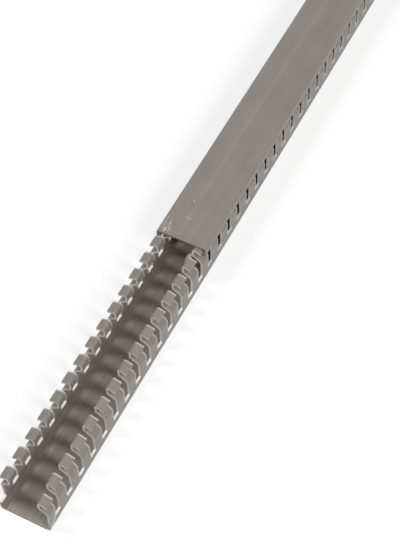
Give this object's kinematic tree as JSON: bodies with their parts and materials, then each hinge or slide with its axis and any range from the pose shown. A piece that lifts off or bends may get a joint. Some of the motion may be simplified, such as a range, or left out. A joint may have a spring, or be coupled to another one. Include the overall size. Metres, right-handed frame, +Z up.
{
  "type": "slotted wire duct",
  "caption": "Straight U-shaped plastic wire duct with slotted, finger-like side walls and a flat cover, clipped over them, drawn part of the way back.",
  "frame": {"origin": "middle of the channel's underside, the face it is mounted on", "axes": "+Y along the duct, away from the end whose cover is drawn back; +Z up out of the duct's open side; +X across it"},
  "size_m": [0.0314, 1.1766, 0.0299],
  "materials": {
    "channel_pvc": "satin grey-taupe rigid PVC, paler where it is punched or sawn",
    "cover_pvc": "satin grey-taupe rigid PVC with faint lengthwise streaks"
  },
  "bodies": {
    "channel": {"slotted_channel": "channel_pvc"},
    "cover": {"snap_cover": "cover_pvc"}
  },
  "joints": [
    {"name": "cover_slide", "type": "slide", "parent": "channel", "child": "cover", "axis": [0, 1, 0], "range_m": [-0.1766, 0.3234]}
  ]
}
